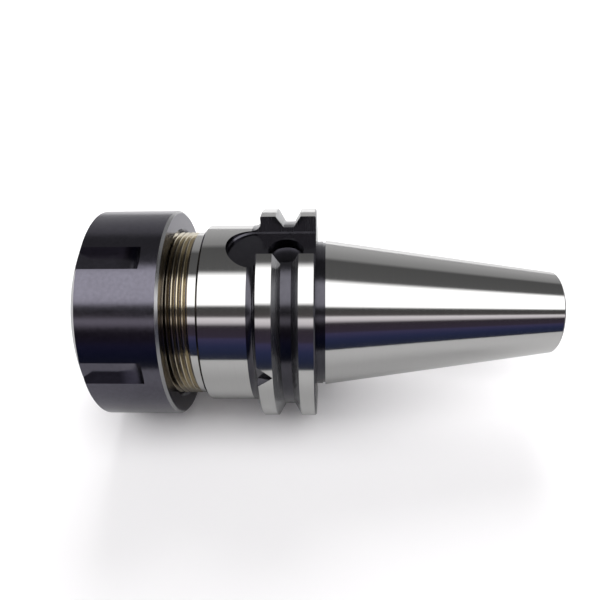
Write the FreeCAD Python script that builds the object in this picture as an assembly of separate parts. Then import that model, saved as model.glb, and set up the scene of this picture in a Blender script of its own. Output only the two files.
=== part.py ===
import FreeCAD, Part
import math
import os

# Collet chuck holder with a 40-size steep taper, its clamping nut and a 20 mm spring collet.
# All lengths are in millimetres and all angles in degrees. +Z runs up the spindle axis from the
# centre of the nut's front face, on which the holder stands, to the taper's small end.
# The drive slots face -Y and +Y. Heights marked "from gauge" are counted down from the gauge line.

# ---- Taper and the bores above the collet ----
GAUGE_LENGTH = 70.0            # nut's front face to the gauge line
GAUGE_D = 44.45
TAPER_RATE = 7.0 / 24.0        # change of diameter for each millimetre of length
TAPER_LENGTH = 68.4            # gauge line to the small end
TAPER_FOOT = 0.5               # ground taper starts this far below the gauge line
TAPER_END_CHAMFER = 0.5
PILOT_D = 17.0                 # pull stud's pilot bore
PILOT_DEPTH = 7.0
STUD_TAP_D = 14.0              # tapping size of the pull stud's M16 thread
STUD_TAP_DEPTH = 34.0          # from the small end
COOLANT_D = 8.0                # hole from the stud thread down to the shank bore
SHANK_BORE_D = 27.0            # room for the tool's shank above the collet
SHANK_BORE_DEPTH = 74.0        # from the nose's face
DRILL_POINT = 118.0

# ---- Neck and flange ----
NECK_D = 44.0
NECK_GROOVE_D = 43.4           # grinding relief below the taper
NECK_GROOVE_W = 0.8
FLANGE_BACK = 3.2              # flange's upper face, from gauge
FLANGE_T = 15.9
FLANGE_D = 63.55
FLANGE_EDGE = 0.35             # chamfer round both faces
GRIP_CENTRE = 11.1             # gripper groove, from gauge
GRIP_ANGLE = 60.0
GRIP_FLOOR_D = 56.25
GRIP_FLOOR_W = 2.86
SLOT_W = 16.1                  # both drive slots
SLOT_FLOOR = 25.0              # shallow slot's floor, from the axis
DEEP_SLOT_FLOOR = 22.8         # opposite slot's floor, from the axis
SLOT_TIP = 28.4                # round end of both slots, from gauge
CODE_HOLE_D = 10.0             # data carrier's seat in the shallow slot
CODE_HOLE_DEPTH = 4.6
CODE_HOLE_CENTRE = 11.6        # from gauge
NOTCH_ANGLE = 77.4             # orientation notch, round from the shallow slot
NOTCH_V = 90.0
NOTCH_DEPTH = 3.4              # at the flange's lower face
NOTCH_DEPTH_IN = 1.9           # where it runs into the gripper groove

# ---- Collar and threaded nose ----
RELIEF_D = 52.8                # band between the flange and the collar
RELIEF_W = 2.5
COLLAR_D = 54.0
COLLAR_UPPER_CHAMFER = 0.4
COLLAR_LOWER_CHAMFER = 0.7
THREAD_D = 50.0                # M50 x 1.5
THREAD_PITCH = 1.5
NOSE_L = 18.3                  # nose's face to the collar
NOSE_CHAMFER = 1.0
SOCKET_MOUTH_D = 40.0
SOCKET_HALF_ANGLE = 8.0
SOCKET_DEPTH = 34.0

# ---- Clamping nut ----
NUT_D = 63.0
NUT_L = 25.5
NUT_OVERHANG = 16.0            # nut's front face to the nose's face
NUT_BEVEL_H = 3.2
NUT_BEVEL_ANGLE = 30.0         # from the axis
NUT_BACK_CHAMFER = 0.7
NUT_MOUTH_CHAMFER = 1.1        # lead into the thread
THREAD_CLEARANCE = 0.08        # round the nose, in the radius
NOSE_GAP = 1.0                 # nose's face to the nut's inner shoulder
SPANNER_SLOTS = 6
SPANNER_SLOT_W = 7.0
SPANNER_SLOT_DEPTH = 3.0
SPANNER_SLOT_L = 20.0
SPANNER_CUTTER_R = 12.0
SPANNER_PHASE = -14.0          # first slot, round from +X
LIP_T = 2.6                    # eccentric ring that draws the collet out
LIP_R = 19.4
LIP_OFFSET = 0.6
LIP_CLEARANCE = 0.6            # above the lip, inside the collet's groove

# ---- Spring collet ----
COLLET_L = 46.0
COLLET_D = 41.0
COLLET_RECESS = 0.3            # front face stands this far inside the nut's face
COLLET_CONE_ANGLE = 30.0
COLLET_RIM_W = 1.0
COLLET_GROOVE_W = 4.0
COLLET_GROOVE_D = 36.6
SEAT_GAP = 0.1                 # collet to socket, square to the taper
CONE_GAP = 0.15                # collet to nut, square to the cone
TOOL_D = 20.0
TOOL_CHAMFER = 0.6
SLITS = 8                      # sawn from each end
SLIT_W = 1.0
SLIT_BRIDGE_TAIL = 8.0         # metal left at the tail by the slits from the front
SLIT_BRIDGE_FRONT = 14.0       # metal left at the front by the slits from the tail

# ---- Heights that follow ----
flange_top = GAUGE_LENGTH - FLANGE_BACK
flange_bottom = flange_top - FLANGE_T
collar_top = flange_bottom - RELIEF_W
nose_face = NUT_OVERHANG
collar_bottom = nose_face + NOSE_L
small_end = GAUGE_LENGTH + TAPER_LENGTH

AXIS = FreeCAD.Vector(0, 0, 1)
CENTRE = FreeCAD.Vector(0, 0, 0)
OUTSIDE = FLANGE_D             # reach of a cutter that has to clear every surface


def tan(angle):
    return math.tan(math.radians(angle))


def cos(angle):
    return math.cos(math.radians(angle))


def turned(profile):
    """Solid of revolution about Z from a closed outline of (radius, height) points."""
    points = [FreeCAD.Vector(radius, 0, height) for radius, height in profile]
    wire = Part.makePolygon(points + points[:1])
    return Part.Face(wire).revolve(CENTRE, AXIS, 360)


def around(shape, count, first=0.0):
    """Copies of a shape spaced evenly about Z, the first one turned by the angle given."""
    copies = []
    for i in range(count):
        turn = shape.copy()
        turn.rotate(CENTRE, AXIS, first + i * 360.0 / count)
        copies.append(turn)
    return Part.makeCompound(copies)


def taper_radius(height):
    return GAUGE_D / 2 - (height - GAUGE_LENGTH) * TAPER_RATE / 2


def point_height(diameter):
    """Depth of the cone that a drill leaves at the bottom of its hole."""
    return diameter / 2 / tan(DRILL_POINT / 2)


def socket_radius(height):
    return SOCKET_MOUTH_D / 2 - (height - nose_face) * tan(SOCKET_HALF_ANGLE)


def holder_outline():
    """Outside of the holder from the nose's face up to the taper's small end."""
    nose = THREAD_D / 2
    collar = COLLAR_D / 2
    rim = FLANGE_D / 2
    neck = NECK_D / 2
    floor = GRIP_FLOOR_D / 2
    grip = GAUGE_LENGTH - GRIP_CENTRE
    half_floor = GRIP_FLOOR_W / 2
    half_mouth = half_floor + (rim - floor) * tan(GRIP_ANGLE / 2)
    taper_foot = GAUGE_LENGTH - TAPER_FOOT
    groove_foot = taper_foot - NECK_GROOVE_W
    return [
        (nose - NOSE_CHAMFER, nose_face),
        (nose, nose_face + NOSE_CHAMFER),
        (nose, collar_bottom),
        (collar - COLLAR_LOWER_CHAMFER, collar_bottom),
        (collar, collar_bottom + COLLAR_LOWER_CHAMFER),
        (collar, collar_top - COLLAR_UPPER_CHAMFER),
        (collar - COLLAR_UPPER_CHAMFER, collar_top),
        (RELIEF_D / 2, collar_top),
        (RELIEF_D / 2, flange_bottom),
        (rim - FLANGE_EDGE, flange_bottom),
        (rim, flange_bottom + FLANGE_EDGE),
        (rim, grip - half_mouth),
        (floor, grip - half_floor),
        (floor, grip + half_floor),
        (rim, grip + half_mouth),
        (rim, flange_top - FLANGE_EDGE),
        (rim - FLANGE_EDGE, flange_top),
        (neck, flange_top),
        (neck, groove_foot),
        (NECK_GROOVE_D / 2, groove_foot),
        (NECK_GROOVE_D / 2, taper_foot),
        (taper_radius(taper_foot), taper_foot),
        (taper_radius(small_end - TAPER_END_CHAMFER), small_end - TAPER_END_CHAMFER),
        (taper_radius(small_end) - TAPER_END_CHAMFER, small_end),
    ]


def holder_bores():
    """Inside of the holder from the small end back down to the nose's face."""
    pilot = PILOT_D / 2
    pilot_floor = small_end - PILOT_DEPTH
    tap_end = small_end - STUD_TAP_DEPTH
    coolant = COOLANT_D / 2
    tap_point = tap_end - point_height(STUD_TAP_D) + point_height(COOLANT_D)
    shank_end = nose_face + SHANK_BORE_DEPTH
    shank_point = shank_end + point_height(SHANK_BORE_D) - point_height(COOLANT_D)
    socket_end = nose_face + SOCKET_DEPTH
    return [
        (pilot, small_end),
        (pilot, pilot_floor),
        (STUD_TAP_D / 2, pilot_floor),
        (STUD_TAP_D / 2, tap_end),
        (coolant, tap_point),
        (coolant, shank_point),
        (SHANK_BORE_D / 2, shank_end),
        (SHANK_BORE_D / 2, socket_end),
        (socket_radius(socket_end), socket_end),
        (SOCKET_MOUTH_D / 2, nose_face),
    ]


def drive_slot(floor):
    """Cutter of a slot that faces -Y: open above, with an end mill's half round at its foot."""
    radius = SLOT_W / 2
    centre = GAUGE_LENGTH - SLOT_TIP + radius
    length = flange_top + FLANGE_BACK / 2 - centre
    depth = OUTSIDE - floor
    box = Part.makeBox(SLOT_W, depth, length, FreeCAD.Vector(-radius, -OUTSIDE, centre))
    foot = FreeCAD.Vector(0, -OUTSIDE, centre)
    end = Part.makeCylinder(radius, depth, foot, FreeCAD.Vector(0, 1, 0))
    return box.fuse(end).removeSplitter()


def code_hole():
    """Cutter of the blind hole in the shallow slot, with its drill point."""
    radius = CODE_HOLE_D / 2
    height = GAUGE_LENGTH - CODE_HOLE_CENTRE
    inward = FreeCAD.Vector(0, 1, 0)
    mouth = FreeCAD.Vector(0, -FLANGE_D / 2, height)
    bottom = FreeCAD.Vector(0, -SLOT_FLOOR + CODE_HOLE_DEPTH, height)
    drilled = Part.makeCylinder(radius, bottom.y - mouth.y, mouth, inward)
    point = Part.makeCone(radius, 0, point_height(CODE_HOLE_D), bottom, inward)
    return drilled.fuse(point)


def orientation_notch():
    """Cutter of the slanting V through the flange's lower rim."""
    rim = FLANGE_D / 2
    half_mouth = GRIP_FLOOR_W / 2 + (FLANGE_D - GRIP_FLOOR_D) / 2 * tan(GRIP_ANGLE / 2)
    rim_width = GAUGE_LENGTH - GRIP_CENTRE - half_mouth - flange_bottom
    rise = (NOTCH_DEPTH - NOTCH_DEPTH_IN) / rim_width
    start = flange_bottom - RELIEF_W / 2
    valley = rim - NOTCH_DEPTH - rise * RELIEF_W / 2
    opening = OUTSIDE - valley
    side = opening * tan(NOTCH_V / 2)
    section = Part.makePolygon([
        FreeCAD.Vector(valley, 0, start),
        FreeCAD.Vector(OUTSIDE, side, start),
        FreeCAD.Vector(OUTSIDE, -side, start),
        FreeCAD.Vector(valley, 0, start),
    ])
    length = RELIEF_W / 2 + rim_width + half_mouth
    cutter = Part.Face(section).extrude(FreeCAD.Vector(rise * length, 0, length))
    cutter.rotate(CENTRE, AXIS, -90 + NOTCH_ANGLE)
    return cutter


def holder_body():
    body = turned(holder_outline() + holder_bores())
    body = body.cut(drive_slot(SLOT_FLOOR))
    deep_slot = drive_slot(DEEP_SLOT_FLOOR)
    deep_slot.rotate(CENTRE, AXIS, 180)
    body = body.cut(deep_slot)
    body = body.cut(code_hole())
    return body.cut(orientation_notch())


def collet_outline():
    """Heights and radii of the collet's outside, from its front face up to its tail."""
    front = COLLET_RECESS
    tail = front + COLLET_L
    widest = COLLET_D / 2
    seat = SEAT_GAP / cos(SOCKET_HALF_ANGLE)
    shoulder = nose_face - (widest + seat - SOCKET_MOUTH_D / 2) / tan(SOCKET_HALF_ANGLE)
    groove_top = shoulder - COLLET_RIM_W
    groove_bottom = groove_top - COLLET_GROOVE_W
    cone_top = groove_bottom - COLLET_RIM_W
    face_radius = widest - (cone_top - front) * tan(COLLET_CONE_ANGLE)
    tail_radius = socket_radius(tail) - seat
    return {
        "front": front, "tail": tail, "widest": widest, "shoulder": shoulder,
        "groove_top": groove_top, "groove_bottom": groove_bottom, "cone_top": cone_top,
        "face_radius": face_radius, "tail_radius": tail_radius,
    }


def spring_collet():
    c = collet_outline()
    grip = TOOL_D / 2
    body = turned([
        (c["face_radius"], c["front"]),
        (c["widest"], c["cone_top"]),
        (c["widest"], c["groove_bottom"]),
        (COLLET_GROOVE_D / 2, c["groove_bottom"]),
        (COLLET_GROOVE_D / 2, c["groove_top"]),
        (c["widest"], c["groove_top"]),
        (c["widest"], c["shoulder"]),
        (c["tail_radius"], c["tail"]),
        (grip, c["tail"]),
        (grip, c["front"] + TOOL_CHAMFER),
        (grip + TOOL_CHAMFER, c["front"]),
    ])
    front_length = COLLET_L - SLIT_BRIDGE_TAIL
    back_length = COLLET_L - SLIT_BRIDGE_FRONT
    front_foot = FreeCAD.Vector(0, -SLIT_W / 2, c["front"])
    back_foot = FreeCAD.Vector(0, -SLIT_W / 2, c["tail"] - back_length)
    front_slit = Part.makeBox(COLLET_D, SLIT_W, front_length, front_foot)
    back_slit = Part.makeBox(COLLET_D, SLIT_W, back_length, back_foot)
    body = body.cut(around(front_slit, SLITS))
    return body.cut(around(back_slit, SLITS, 180.0 / SLITS))


def spanner_slot():
    """Cutter of one slot along +X: a straight floor that a round cutter runs out of."""
    floor = NUT_D / 2 - SPANNER_SLOT_DEPTH
    reach = math.sqrt(SPANNER_CUTTER_R ** 2 - (SPANNER_CUTTER_R - SPANNER_SLOT_DEPTH) ** 2)
    centre = SPANNER_SLOT_L - reach
    half = SPANNER_SLOT_W / 2
    foot = FreeCAD.Vector(floor, -half, -NUT_BEVEL_H)
    box = Part.makeBox(SPANNER_CUTTER_R, SPANNER_SLOT_W, centre + NUT_BEVEL_H, foot)
    hub = FreeCAD.Vector(floor + SPANNER_CUTTER_R, -half, centre)
    disc = Part.makeCylinder(SPANNER_CUTTER_R, SPANNER_SLOT_W, hub, FreeCAD.Vector(0, 1, 0))
    return box.fuse(disc).removeSplitter()


def clamping_nut():
    c = collet_outline()
    outer = NUT_D / 2
    thread = THREAD_D / 2 + THREAD_CLEARANCE
    shoulder = nose_face - NOSE_GAP
    lip_top = c["groove_top"] - LIP_CLEARANCE
    lip_bottom = lip_top - LIP_T
    cone_gap = CONE_GAP / cos(COLLET_CONE_ANGLE)
    mouth = c["face_radius"] + cone_gap - c["front"] * tan(COLLET_CONE_ANGLE)
    throat = mouth + c["groove_bottom"] * tan(COLLET_CONE_ANGLE)
    body = turned([
        (outer - NUT_BEVEL_H * tan(NUT_BEVEL_ANGLE), 0),
        (outer, NUT_BEVEL_H),
        (outer, NUT_L - NUT_BACK_CHAMFER),
        (outer - NUT_BACK_CHAMFER, NUT_L),
        (thread + NUT_MOUTH_CHAMFER, NUT_L),
        (thread, NUT_L - NUT_MOUTH_CHAMFER),
        (thread, shoulder),
        (throat, shoulder),
        (throat, lip_top),
        (LIP_R - 2 * LIP_OFFSET, lip_top),
        (LIP_R - 2 * LIP_OFFSET, lip_bottom),
        (throat, lip_bottom),
        (throat, c["groove_bottom"]),
        (mouth, 0),
    ])
    lip_foot = FreeCAD.Vector(LIP_OFFSET, 0, lip_bottom)
    body = body.cut(Part.makeCylinder(LIP_R, LIP_T, lip_foot))
    return body.cut(around(spanner_slot(), SPANNER_SLOTS, SPANNER_PHASE))


os.makedirs("parts", exist_ok=True)
NODES = {
    "holder_body": holder_body(),
    "clamping_nut": clamping_nut(),
    "spring_collet": spring_collet(),
}
for name, shape in NODES.items():
    shape.exportStep("parts/" + name + ".step")
    print(name, len(shape.Solids), "solid", shape.isValid(), round(shape.Volume), "mm3")
print("nut travel", THREAD_PITCH * int((NUT_L - nose_face) / THREAD_PITCH), "mm")
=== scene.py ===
import math

import bpy
import mathutils
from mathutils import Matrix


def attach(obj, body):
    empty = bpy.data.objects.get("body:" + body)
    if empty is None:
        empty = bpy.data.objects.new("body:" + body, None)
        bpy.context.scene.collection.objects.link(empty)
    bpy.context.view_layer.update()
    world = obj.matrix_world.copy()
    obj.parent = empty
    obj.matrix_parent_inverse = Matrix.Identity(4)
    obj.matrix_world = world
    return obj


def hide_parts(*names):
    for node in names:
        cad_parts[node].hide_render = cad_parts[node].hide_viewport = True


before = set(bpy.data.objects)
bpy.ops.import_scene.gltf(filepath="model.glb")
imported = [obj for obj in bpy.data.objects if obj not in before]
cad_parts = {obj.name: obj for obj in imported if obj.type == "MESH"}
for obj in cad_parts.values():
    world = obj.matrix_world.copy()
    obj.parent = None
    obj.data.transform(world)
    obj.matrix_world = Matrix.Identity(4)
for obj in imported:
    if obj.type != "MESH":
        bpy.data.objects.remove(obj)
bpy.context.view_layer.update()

# ---------------------------------------------------------------------------
# Holder body: one piece of hardened steel, turned, milled and blacked all over.
# The taper, the collar, the flange's rims and the land behind the thread are
# then ground bright. It replaces the plain solid to carry the real thread.
# ---------------------------------------------------------------------------

# Sizes are in millimetres, and heights are counted up from the nut's front face.
GAUGE = 70.0
GAUGE_R = 22.225
TAPER_RATE = 7 / 48             # change of radius for each millimetre of height
TAPER_FOOT = 69.5
TAPER_CHAMFER = 0.5
SMALL_END = 138.4
NECK_R = 22.0
NECK_GROOVE_R = 21.7
NECK_GROOVE_FOOT = 68.7

FLANGE_R = 31.775
FLANGE_TOP = 66.8
FLANGE_BOTTOM = 50.9
FLANGE_EDGE = 0.35
GRIP_R = 28.125                 # floor of the gripper groove
GRIP_Z = 58.9
GRIP_HALF_FLOOR = 1.43
GRIP_HALF_MOUTH = 3.537

COLLAR_R = 27.0
COLLAR_FOOT = 34.3
COLLAR_CHAMFER = 0.7
FILLET_R = 2.8                  # hollow between the collar and the flange
NOSE_R = 25.0
NOSE_FACE = 16.0
NOSE_CHAMFER = 1.0

PILOT_R = 8.5
PILOT_FLOOR = 131.4
STUD_R = 7.0
STUD_FLOOR = 104.4
COOLANT_R = 4.0
COOLANT_TOP = 102.6
COOLANT_FOOT = 95.7
SHANK_R = 13.5
SHANK_TOP = 90.0
SOCKET_TOP = 50.0
SOCKET_TOP_R = 15.221
SOCKET_MOUTH_R = 20.0


def metres(values):
    return tuple(v / 1000 for v in values)


def pick(piece):
    """Selects one piece alone."""
    bpy.ops.object.select_all(action="DESELECT")
    piece.select_set(True)
    bpy.context.view_layer.objects.active = piece


def outline(name, points, closed=True):
    """An object whose mesh is one chain of edges through points in millimetres."""
    mesh = bpy.data.meshes.new(name)
    count = len(points)
    edges = [(i, (i + 1) % count) for i in range(count if closed else count - 1)]
    mesh.from_pydata([metres(point) for point in points], edges, [])
    piece = bpy.data.objects.new(name, mesh)
    bpy.context.scene.collection.objects.link(piece)
    pick(piece)
    return piece


def turn(name, profile, steps, closed=True):
    """A turned piece from an outline of (radius, height)."""
    piece = outline(name, [(radius, 0, height) for radius, height in profile], closed)
    bpy.ops.object.mode_set(mode="EDIT")
    bpy.ops.mesh.select_all(action="SELECT")
    bpy.ops.mesh.spin(steps=steps, angle=math.tau, center=(0, 0, 0), axis=(0, 0, 1))
    bpy.ops.mesh.select_all(action="SELECT")
    bpy.ops.mesh.remove_doubles(threshold=1e-6)
    bpy.ops.mesh.normals_make_consistent(inside=False)
    bpy.ops.object.mode_set(mode="OBJECT")
    return piece


def pushed(name, section, way, tip=None):
    """A prism from a closed section that is extruded along way, all in millimetres.

    A tip (way, share, centre) goes on from there, and shrinks the section about the centre.
    """
    piece = outline(name, section)
    bpy.ops.object.mode_set(mode="EDIT")
    bpy.ops.mesh.select_all(action="SELECT")
    bpy.ops.mesh.edge_face_add()
    bpy.ops.mesh.extrude_region_move(TRANSFORM_OT_translate={"value": metres(way)})
    if tip:
        onward, share, centre = tip
        bpy.ops.mesh.extrude_region_move(TRANSFORM_OT_translate={"value": metres(onward)})
        bpy.ops.transform.resize(value=(share, 1, share), center_override=metres(centre))
    bpy.ops.mesh.select_all(action="SELECT")
    bpy.ops.mesh.normals_make_consistent(inside=False)
    bpy.ops.object.mode_set(mode="OBJECT")
    return piece


def place(piece, degrees=(0, 0, 0), shift=(0, 0, 0)):
    """Turns and moves a piece, and puts its place into its mesh."""
    pick(piece)
    piece.rotation_euler = tuple(math.radians(v) for v in degrees)
    piece.location = metres(shift)
    bpy.ops.object.transform_apply(location=True, rotation=True, scale=False)


def cut(piece, cutter):
    """Cuts one piece from another, and takes the cutter away."""
    pick(piece)
    tool = piece.modifiers.new("cut", "BOOLEAN")
    tool.operation = "DIFFERENCE"
    tool.solver = "EXACT"
    tool.object = cutter
    bpy.ops.object.modifier_apply(modifier=tool.name)
    bpy.data.objects.remove(cutter)


def taper_radius(height):
    return GAUGE_R - (height - GAUGE) * TAPER_RATE


quarter = [math.pi / 2 * i / 12 for i in range(13)]
fillet_centre = (COLLAR_R + FILLET_R, FLANGE_BOTTOM - FILLET_R)
fillet = [(fillet_centre[0] - FILLET_R * math.cos(a), fillet_centre[1] + FILLET_R * math.sin(a))
          for a in quarter]
holder_outside = [
    (NOSE_R - NOSE_CHAMFER, NOSE_FACE),
    (NOSE_R, NOSE_FACE + NOSE_CHAMFER),
    (NOSE_R, COLLAR_FOOT),
    (COLLAR_R - COLLAR_CHAMFER, COLLAR_FOOT),
    (COLLAR_R, COLLAR_FOOT + COLLAR_CHAMFER),
    *fillet,
    (FLANGE_R - FLANGE_EDGE, FLANGE_BOTTOM),
    (FLANGE_R, FLANGE_BOTTOM + FLANGE_EDGE),
    (FLANGE_R, GRIP_Z - GRIP_HALF_MOUTH),
    (GRIP_R, GRIP_Z - GRIP_HALF_FLOOR),
    (GRIP_R, GRIP_Z + GRIP_HALF_FLOOR),
    (FLANGE_R, GRIP_Z + GRIP_HALF_MOUTH),
    (FLANGE_R, FLANGE_TOP - FLANGE_EDGE),
    (FLANGE_R - FLANGE_EDGE, FLANGE_TOP),
    (NECK_R, FLANGE_TOP),
    (NECK_R, NECK_GROOVE_FOOT),
    (NECK_GROOVE_R, NECK_GROOVE_FOOT),
    (NECK_GROOVE_R, TAPER_FOOT),
    (taper_radius(TAPER_FOOT), TAPER_FOOT),
    (taper_radius(SMALL_END - TAPER_CHAMFER), SMALL_END - TAPER_CHAMFER),
    (taper_radius(SMALL_END) - TAPER_CHAMFER, SMALL_END),
]
holder_inside = [
    (PILOT_R, SMALL_END),
    (PILOT_R, PILOT_FLOOR),
    (STUD_R, PILOT_FLOOR),
    (STUD_R, STUD_FLOOR),
    (COOLANT_R, COOLANT_TOP),
    (COOLANT_R, COOLANT_FOOT),
    (SHANK_R, SHANK_TOP),
    (SHANK_R, SOCKET_TOP),
    (SOCKET_TOP_R, SOCKET_TOP),
    (SOCKET_MOUTH_R, NOSE_FACE),
]
holder = turn("holder", holder_outside + holder_inside, 288)

# The two drive slots are milled in from outside, with a small chamfer along the floor.
CLEAR = 40.0                    # a cutter that starts here is clear of the flange
SLOT_HALF = 8.05
SLOT_ROUND_Z = 49.65            # centre of the half round at the slot's foot
SLOT_OPEN_Z = 68.4
SLOT_CORNER = 0.4
SHALLOW_FLOOR = 25.0
DEEP_FLOOR = 22.8


def slot_mill(name, floor):
    """The path of an end mill across the flange, with its half round in the collar."""
    half_turn = [math.pi * i / 32 for i in range(33)]
    section = [(-SLOT_HALF, -CLEAR, SLOT_OPEN_Z)]
    section += [(-SLOT_HALF * math.cos(a), -CLEAR, SLOT_ROUND_Z - SLOT_HALF * math.sin(a))
                for a in half_turn]
    section += [(SLOT_HALF, -CLEAR, SLOT_OPEN_Z)]
    return pushed(name, section, (0, CLEAR - floor - SLOT_CORNER, 0),
                  tip=((0, SLOT_CORNER, 0), 1 - SLOT_CORNER / SLOT_HALF,
                       (0, -floor, SLOT_ROUND_Z)))


cut(holder, slot_mill("shallow_slot_mill", SHALLOW_FLOOR))
deep_mill = slot_mill("deep_slot_mill", DEEP_FLOOR)
place(deep_mill, degrees=(0, 0, 180))
cut(holder, deep_mill)

# The data carrier's hole is drilled into the shallow slot's floor.
HOLE_R = 5.0
HOLE_Z = 58.4
HOLE_WALL = 22.0                # end of the straight wall, from the axis
HOLE_POINT = 20.18              # tip of the drill, from the axis
drill = turn("drill", [(0, -CLEAR), (HOLE_R, -CLEAR), (HOLE_R, -HOLE_WALL), (0, -HOLE_POINT)],
             64, closed=False)
place(drill, degrees=(-90, 0, 0), shift=(0, 0, HOLE_Z))
cut(holder, drill)

# The orientation notch is a V that leans, and rises out of the flange's lower rim.
NOTCH_TURN = -12.6              # degrees round from +X
NOTCH_FOOT = 49.9
NOTCH_VALLEY = (28.44, 2.89)    # bottom of the V: outwards, then round the flange
NOTCH_SIDES = [(35.78, 6.08), (33.18, -8.14)]
NOTCH_WAY = (3.964, -3.235, 6.5)
notch_mill = pushed("notch_mill", [(x, y, NOTCH_FOOT) for x, y in [NOTCH_VALLEY, *NOTCH_SIDES]],
                    NOTCH_WAY)
place(notch_mill, degrees=(0, 0, NOTCH_TURN))
cut(holder, notch_mill)

# The nose's right-hand M50 x 1.5 thread.
PITCH = 1.5
THREAD_ROOT_R = 24.08
THREAD_REACH = 25.18            # just past the nose's surface
THREAD_START = 15.46
THREAD_TURNS = 11
THREAD_END_TURN = 134           # degrees round from +X, on the far side
ROOT_FLAT = 0.1                 # half the width of the root
FLANK_ANGLE = 30


def thread_mill(name):
    """A V-shaped tool that winds round Z at the thread's pitch."""
    half_mouth = ROOT_FLAT + abs(THREAD_REACH - THREAD_ROOT_R) * math.tan(math.radians(FLANK_ANGLE))
    section = [(THREAD_ROOT_R, 0, THREAD_START - ROOT_FLAT),
               (THREAD_ROOT_R, 0, THREAD_START + ROOT_FLAT),
               (THREAD_REACH, 0, THREAD_START + half_mouth),
               (THREAD_REACH, 0, THREAD_START - half_mouth)]
    piece = outline(name, section)
    wind = piece.modifiers.new("wind", "SCREW")
    wind.axis = "Z"
    wind.angle = math.tau
    wind.screw_offset = PITCH / 1000
    wind.iterations = THREAD_TURNS
    wind.steps = 144
    wind.render_steps = 144
    bpy.ops.object.modifier_apply(modifier=wind.name)
    bpy.ops.object.mode_set(mode="EDIT")
    bpy.ops.mesh.select_all(action="DESELECT")
    bpy.ops.mesh.select_mode(type="EDGE")
    bpy.ops.mesh.select_non_manifold()
    bpy.ops.mesh.edge_face_add()
    bpy.ops.mesh.select_all(action="SELECT")
    bpy.ops.mesh.normals_make_consistent(inside=False)
    bpy.ops.object.mode_set(mode="OBJECT")
    return piece


nose_mill = thread_mill("nose_thread_mill")
place(nose_mill, degrees=(0, 0, THREAD_END_TURN))
cut(holder, nose_mill)

SMOOTH_BELOW = math.radians(25)
pick(holder)
bpy.ops.object.shade_smooth_by_angle(angle=SMOOTH_BELOW)


def node(tree, kind, x=0, y=0, **settings):
    """A shader node at a place in the tree, with its settings."""
    made = tree.nodes.new(kind)
    made.location = (x, y)
    for key, value in settings.items():
        setattr(made, key, value)
    return made


def material(name):
    """A new node material, with its tree, its Principled shader and its Object coordinates."""
    made = bpy.data.materials.new(name)
    made.use_nodes = True
    tree = made.node_tree
    shader = tree.nodes["Principled BSDF"]
    coords = node(tree, "ShaderNodeTexCoord", -1200, 0)
    return made, tree, shader, coords.outputs["Object"]


def turned_grain():
    """Fine lines that run round the axis, as a mask for ground and turned steel."""
    tree = bpy.data.node_groups.new("turned_grain", "ShaderNodeTree")
    face = tree.interface
    face.new_socket("Vector", in_out="INPUT", socket_type="NodeSocketVector")
    face.new_socket("Lines", in_out="INPUT", socket_type="NodeSocketFloat")
    face.new_socket("Patch", in_out="INPUT", socket_type="NodeSocketFloat")
    face.new_socket("Mask", in_out="OUTPUT", socket_type="NodeSocketFloat")
    start = node(tree, "NodeGroupInput", -900)
    end = node(tree, "NodeGroupOutput", 500)
    parts = node(tree, "ShaderNodeSeparateXYZ", -700)
    fine = node(tree, "ShaderNodeMath", -500, -200, operation="MULTIPLY")
    wide_x = node(tree, "ShaderNodeMath", -500, 200, operation="MULTIPLY")
    wide_y = node(tree, "ShaderNodeMath", -500, 0, operation="MULTIPLY")
    joined = node(tree, "ShaderNodeCombineXYZ", -300)
    noise = node(tree, "ShaderNodeTexNoise", -100)
    noise.inputs["Scale"].default_value = 1.0
    noise.inputs["Detail"].default_value = 3.0
    link = tree.links.new
    link(start.outputs["Vector"], parts.inputs[0])
    for axis, scale, sized in (("X", "Patch", wide_x), ("Y", "Patch", wide_y), ("Z", "Lines", fine)):
        link(parts.outputs[axis], sized.inputs[0])
        link(start.outputs[scale], sized.inputs[1])
        link(sized.outputs[0], joined.inputs[axis])
    link(joined.outputs[0], noise.inputs["Vector"])
    link(noise.outputs["Fac"], end.inputs["Mask"])
    return tree


GRAIN = turned_grain()


def grained(tree, coords, lines, patch):
    """The mask of the turned grain: lines a metre along the axis, patches a metre across."""
    made = node(tree, "ShaderNodeGroup", -900, 0)
    made.node_tree = GRAIN
    made.inputs["Lines"].default_value = lines
    made.inputs["Patch"].default_value = patch
    tree.links.new(coords, made.inputs["Vector"])
    return made.outputs["Mask"]


def ranged(tree, mask, low, high):
    """A mask stretched to run from one value to another."""
    made = node(tree, "ShaderNodeMapRange", -500, 0)
    made.inputs["To Min"].default_value = low
    made.inputs["To Max"].default_value = high
    tree.links.new(mask, made.inputs["Value"])
    return made.outputs["Result"]


def blended(tree, mask, low, high):
    """A colour that runs from one to another along a mask."""
    made = node(tree, "ShaderNodeMix", -400, 200, data_type="RGBA")
    made.inputs["A"].default_value = (*low, 1)
    made.inputs["B"].default_value = (*high, 1)
    tree.links.new(mask, made.inputs["Factor"])
    return made.outputs["Result"]


def bumped(tree, shader, height, distance, strength):
    """Raises a mask on the surface, by a distance in metres."""
    made = node(tree, "ShaderNodeBump", -300, -300)
    made.inputs["Strength"].default_value = strength
    made.inputs["Distance"].default_value = distance
    tree.links.new(height, made.inputs["Height"])
    tree.links.new(made.outputs["Normal"], shader.inputs["Normal"])


def ground_steel(name, colour, roughness):
    """Bright steel with the fine lines of grinding or turning."""
    made, tree, shader, coords = material(name)
    shader.inputs["Metallic"].default_value = 1.0
    mask = grained(tree, coords, lines=6000, patch=60)
    dull = [v * 0.9 for v in colour]
    tree.links.new(blended(tree, mask, dull, colour), shader.inputs["Base Color"])
    tree.links.new(ranged(tree, mask, roughness * 0.7, roughness * 1.3), shader.inputs["Roughness"])
    bumped(tree, shader, mask, 0.00001, 0.08)
    return made


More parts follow.
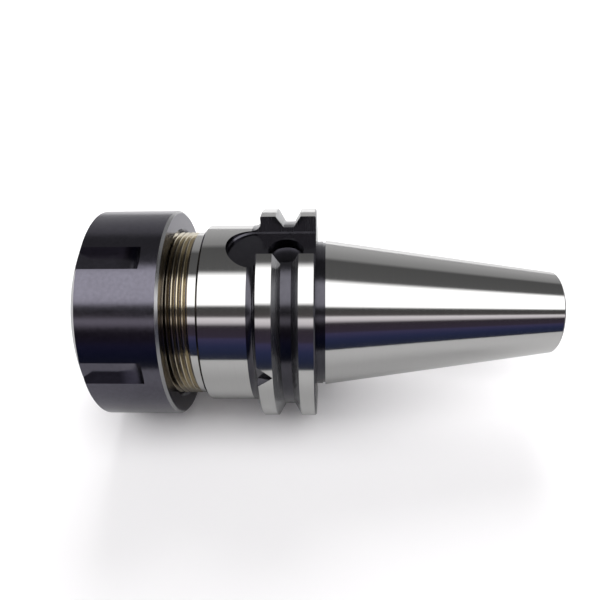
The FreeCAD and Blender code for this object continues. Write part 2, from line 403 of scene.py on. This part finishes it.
def black_oxide(name, colour, roughness):
    """Blacked steel with a finely mottled skin."""
    made, tree, shader, coords = material(name)
    shader.inputs["Metallic"].default_value = 1.0
    noise = node(tree, "ShaderNodeTexNoise", -900, 0)
    noise.inputs["Scale"].default_value = 900
    noise.inputs["Detail"].default_value = 5
    tree.links.new(coords, noise.inputs["Vector"])
    mask = noise.outputs["Fac"]
    dark = [v * 0.8 for v in colour]
    light = [v * 1.2 for v in colour]
    tree.links.new(blended(tree, mask, dark, light), shader.inputs["Base Color"])
    tree.links.new(ranged(tree, mask, roughness * 0.8, roughness * 1.2), shader.inputs["Roughness"])
    bumped(tree, shader, mask, 0.00002, 0.1)
    return made


OXIDE = black_oxide("black_oxide", (0.07, 0.068, 0.08), 0.18)
GROUND = ground_steel("ground_steel", (0.58, 0.575, 0.57), 0.09)
THREAD = ground_steel("cut_thread", (0.56, 0.50, 0.38), 0.16)
FLANK = ground_steel("worn_flank", (0.34, 0.34, 0.35), 0.25)
THREAD_TOP = 32.2
CREST_R = 24.25                 # below it the thread's root is left black: painted shade in the hollow between the crests
NEAR = 0.05


def holder_finish(x, y, z):
    """Which finish the surface has at a place: its number in the piece's materials."""
    radius = math.hypot(x, y)
    on_collar = COLLAR_FOOT + COLLAR_CHAMFER < z < fillet_centre[1]
    if on_collar and abs(radius - COLLAR_R) < NEAR:
        return 1
    if z > TAPER_FOOT and abs(radius - taper_radius(z)) < NEAR:
        return 1
    if abs(radius - FLANGE_R) < NEAR:
        return 1
    if THREAD_TOP < z < COLLAR_FOOT and abs(radius - NOSE_R) < NEAR:
        return 1
    # Thread faces above CREST_R take the thread's finish; the roots below it fall through to black
    # oxide as painted shade.
    if NOSE_FACE < z <= THREAD_TOP and CREST_R < radius < NOSE_R + NEAR:
        return 2
    beside_floor = GRIP_HALF_FLOOR + NEAR < abs(z - GRIP_Z) < GRIP_HALF_MOUTH - NEAR
    if beside_floor and GRIP_R + NEAR < radius < FLANGE_R - NEAR:
        return 3
    return 0


for finish in (OXIDE, GROUND, THREAD, FLANK):
    holder.data.materials.append(finish)
for face in holder.data.polygons:
    face.material_index = holder_finish(*(v * 1000 for v in face.center))
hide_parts("holder_body")
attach(holder, "holder")

# ---------------------------------------------------------------------------
# Clamping nut: a turned ring with six milled spanner slots, blacked all over.
# Handling has worn the blacking off its rear edge. It replaces the plain
# solid, so that its front edge has the real nut's flat chamfer.
# ---------------------------------------------------------------------------
NUT_R = 31.5
NUT_LENGTH = 25.5
NUT_FRONT_R = 25.96             # front face, inside the chamfer
NUT_FRONT_CHAMFER = 3.2         # its height
NUT_REAR_CHAMFER = 0.7
NUT_THREAD_R = 25.08
NUT_LEAD = 1.1                  # lead into the thread
NUT_SHOULDER = 15.0
THROAT_R = 20.11
THROAT_FOOT = 8.1
MOUTH_R = 15.5
LIP_R = 18.2
LIP_TOP = 12.0
LIP_FOOT = 9.4
nut_outline = [
    (NUT_FRONT_R, 0),
    (NUT_R, NUT_FRONT_CHAMFER),
    (NUT_R, NUT_LENGTH - NUT_REAR_CHAMFER),
    (NUT_R - NUT_REAR_CHAMFER, NUT_LENGTH),
    (NUT_THREAD_R + NUT_LEAD, NUT_LENGTH),
    (NUT_THREAD_R, NUT_LENGTH - NUT_LEAD),
    (NUT_THREAD_R, NUT_SHOULDER),
    (THROAT_R, NUT_SHOULDER),
    (THROAT_R, LIP_TOP),
    (LIP_R, LIP_TOP),
    (LIP_R, LIP_FOOT),
    (THROAT_R, LIP_FOOT),
    (THROAT_R, THROAT_FOOT),
    (MOUTH_R, 0),
]
nut = turn("nut", nut_outline, 240)

# A round cutter mills each slot along its floor, and leaves its own curve at the end.
SPANNER_FLOOR_R = 28.5
SPANNER_HALF = 3.5
SPANNER_COUNT = 6
SPANNER_TURN = -14              # degrees round from +X to the first slot
CUTTER_R = 12.0
CUTTER_Z = 12.063
CUTTER_FOOT = -3.2
sweep = [math.pi / 2 * i / 24 for i in range(25)]
spanner_section = [(SPANNER_FLOOR_R, CUTTER_FOOT)]
spanner_section += [(SPANNER_FLOOR_R + CUTTER_R * (1 - math.cos(a)), CUTTER_Z + CUTTER_R * math.sin(a))
                    for a in sweep]
spanner_section += [(SPANNER_FLOOR_R + CUTTER_R, CUTTER_FOOT)]
for k in range(SPANNER_COUNT):
    spanner_mill = pushed("spanner_mill", [(x, -SPANNER_HALF, z) for x, z in spanner_section],
                          (0, 2 * SPANNER_HALF, 0))
    place(spanner_mill, degrees=(0, 0, 360 / SPANNER_COUNT * k + SPANNER_TURN))
    cut(nut, spanner_mill)

pick(nut)
bpy.ops.object.shade_smooth_by_angle(angle=SMOOTH_BELOW)
NUT_BLACK = black_oxide("nut_black", (0.115, 0.11, 0.135), 0.17)
nut.data.materials.append(NUT_BLACK)
nut.data.materials.append(FLANK)
for face in nut.data.polygons:
    x, y, z = (v * 1000 for v in face.center)
    inside_chamfer = NUT_LENGTH - NUT_REAR_CHAMFER + 0.02 < z < NUT_LENGTH - 0.02
    worn = inside_chamfer and math.hypot(x, y) > NUT_R - NUT_REAR_CHAMFER + 0.05
    face.material_index = 1 if worn else 0
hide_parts("clamping_nut")
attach(nut, "nut")

# ---------------------------------------------------------------------------
# Spring collet: hardened spring steel, slit from both ends so that it can be
# squeezed, and ground all over. The plain solid has its whole form.
# ---------------------------------------------------------------------------
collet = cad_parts["spring_collet"]
for place_in_list in range(len(collet.material_slots)):
    collet.material_slots[place_in_list].material = GROUND

# ---------------------------------------------------------------------------
# Studio: a pale table, on which the holder lies on its side, soft light in
# strips along the spindle axis, and a lamp that gives the table its shadow.
# ---------------------------------------------------------------------------

# Places are in metres.
TABLE_Y = 0.0318
TABLE_REACH = 4
TABLE_NEAR = 0.16               # the table's edge towards the viewer
TABLE_GLOW = 0.03
plane = bpy.data.meshes.new("table")
plane.from_pydata(
    [(-TABLE_REACH, TABLE_Y, -TABLE_REACH), (TABLE_NEAR, TABLE_Y, -TABLE_REACH),
     (TABLE_NEAR, TABLE_Y, TABLE_REACH), (-TABLE_REACH, TABLE_Y, TABLE_REACH)],
    [], [(0, 1, 2, 3)])
table = bpy.data.objects.new("table", plane)
bpy.context.scene.collection.objects.link(table)

top, tree, shader, coords = material("table_top")
shader.inputs["Roughness"].default_value = 0.9
shader.inputs["Specular IOR Level"].default_value = 0.0
shader.inputs["Emission Color"].default_value = (1, 1, 1, 1)
path = node(tree, "ShaderNodeLightPath", -700, -300)
seen = path.outputs["Is Camera Ray"]
glow = node(tree, "ShaderNodeMath", -500, -300, operation="MULTIPLY")
glow.inputs[1].default_value = TABLE_GLOW
side = node(tree, "ShaderNodeNewGeometry", 0, 300)
clear = node(tree, "ShaderNodeBsdfTransparent", 0, -400)
choice = node(tree, "ShaderNodeMixShader", 300, 0)
output = tree.nodes["Material Output"]
output.location = (500, 0)
link = tree.links.new
link(seen, glow.inputs[0])
link(blended(tree, seen, (0.6, 0.6, 0.6), (0.95, 0.94, 0.95)), shader.inputs["Base Color"])
link(glow.outputs[0], shader.inputs["Emission Strength"])
link(side.outputs["Backfacing"], choice.inputs[0])
link(shader.outputs[0], choice.inputs[1])
link(clear.outputs[0], choice.inputs[2])
link(choice.outputs[0], output.inputs[0])
table.data.materials.append(top)

# Light by direction round the spindle axis: degrees from the viewer's side towards the top of
# the view, then the light's colour.
BRIGHTEST = 2.2
STRIPS = [
    (-180, (0.62, 0.62, 0.62)), (-66, (0.50, 0.50, 0.50)), (-62, (0.035, 0.039, 0.058)),
    (-53, (0.025, 0.032, 0.072)), (-43, (0.032, 0.039, 0.10)), (-33, (0.067, 0.060, 0.134)),
    (-31.5, (0.053, 0.042, 0.067)), (-17, (0.044, 0.035, 0.047)), (-12.5, (0.85, 0.80, 0.84)),
    (-7, (1.1, 1.05, 1.08)), (-5, (0.10, 0.09, 0.09)), (7, (0.07, 0.07, 0.07)),
    (10.5, (2.2, 2.2, 2.2)), (46.5, (2.2, 2.2, 2.2)), (54, (0.14, 0.14, 0.14)),
    (90, (0.12, 0.12, 0.12)), (97, (0.36, 0.36, 0.36)), (120, (0.50, 0.50, 0.50)),
    (179, (0.70, 0.70, 0.70))]
world = bpy.data.worlds.new("studio")
bpy.context.scene.world = world
world.use_nodes = True
tree = world.node_tree
tree.nodes.clear()
direction = node(tree, "ShaderNodeTexCoord", -1400)
to_viewer = node(tree, "ShaderNodeVectorMath", -1200, 100, operation="DOT_PRODUCT")
to_viewer.inputs[1].default_value = (0.69466, -0.71934, 0)
to_top = node(tree, "ShaderNodeVectorMath", -1200, -100, operation="DOT_PRODUCT")
to_top.inputs[1].default_value = (-0.71934, -0.69466, 0)
angle = node(tree, "ShaderNodeMath", -1000, operation="ARCTAN2")
share = node(tree, "ShaderNodeMapRange", -800)
share.inputs["From Min"].default_value = -math.pi
share.inputs["From Max"].default_value = math.pi
ramp = node(tree, "ShaderNodeValToRGB", -600)
stops = ramp.color_ramp.elements
stops.remove(stops[1])
for degrees, colour in STRIPS:
    stop = stops[0] if degrees == -180 else stops.new((degrees + 180) / 360)
    stop.color = (*[v / BRIGHTEST for v in colour], 1)
lit = node(tree, "ShaderNodeBackground", -200)
lit.inputs["Strength"].default_value = BRIGHTEST
white = node(tree, "ShaderNodeBackground", -200, 200)
white.inputs["Color"].default_value = (1, 1, 1, 1)
path = node(tree, "ShaderNodeLightPath", -400, 400)
choice = node(tree, "ShaderNodeMixShader", 100)
output = node(tree, "ShaderNodeOutputWorld", 300)
link = tree.links.new
for vector in (to_viewer, to_top):
    link(direction.outputs["Generated"], vector.inputs[0])
link(to_top.outputs["Value"], angle.inputs[0])
link(to_viewer.outputs["Value"], angle.inputs[1])
link(angle.outputs[0], share.inputs["Value"])
link(share.outputs["Result"], ramp.inputs["Fac"])
link(ramp.outputs["Color"], lit.inputs["Color"])
link(path.outputs["Is Camera Ray"], choice.inputs[0])
link(lit.outputs[0], choice.inputs[1])
link(white.outputs[0], choice.inputs[2])
link(choice.outputs[0], output.inputs[0])

# The lamp hangs behind the holder's upper side, and lays its shadow towards the viewer.
lamp_light = bpy.data.lights.new("back_lamp", "AREA")
lamp_light.shape = "DISK"
lamp_light.size = 0.35
lamp_light.energy = 2.3
lamp = bpy.data.objects.new("back_lamp", lamp_light)
lamp.location = (-0.40, -0.30, 0.08)
lamp_back = mathutils.Vector((-0.40, -0.33, 0.0))
lamp.rotation_euler = lamp_back.to_track_quat("Z", "Y").to_euler()
lamp.visible_glossy = False
lamp.visible_camera = False
bpy.context.scene.collection.objects.link(lamp)

lens = bpy.data.cameras.new("camera")
lens.sensor_width = 36
lens.lens = 33.88
lens.shift_y = 40 / 600
lens.clip_start = 0.01
camera = bpy.data.objects.new("camera", lens)
camera.location = (0.12308, -0.12745, 0.06998)
camera.rotation_euler = tuple(math.radians(v) for v in (-1.8537, -87.2568, 133.0817))
bpy.context.scene.collection.objects.link(camera)
bpy.context.scene.camera = camera
bpy.context.scene.view_settings.view_transform = "Standard"
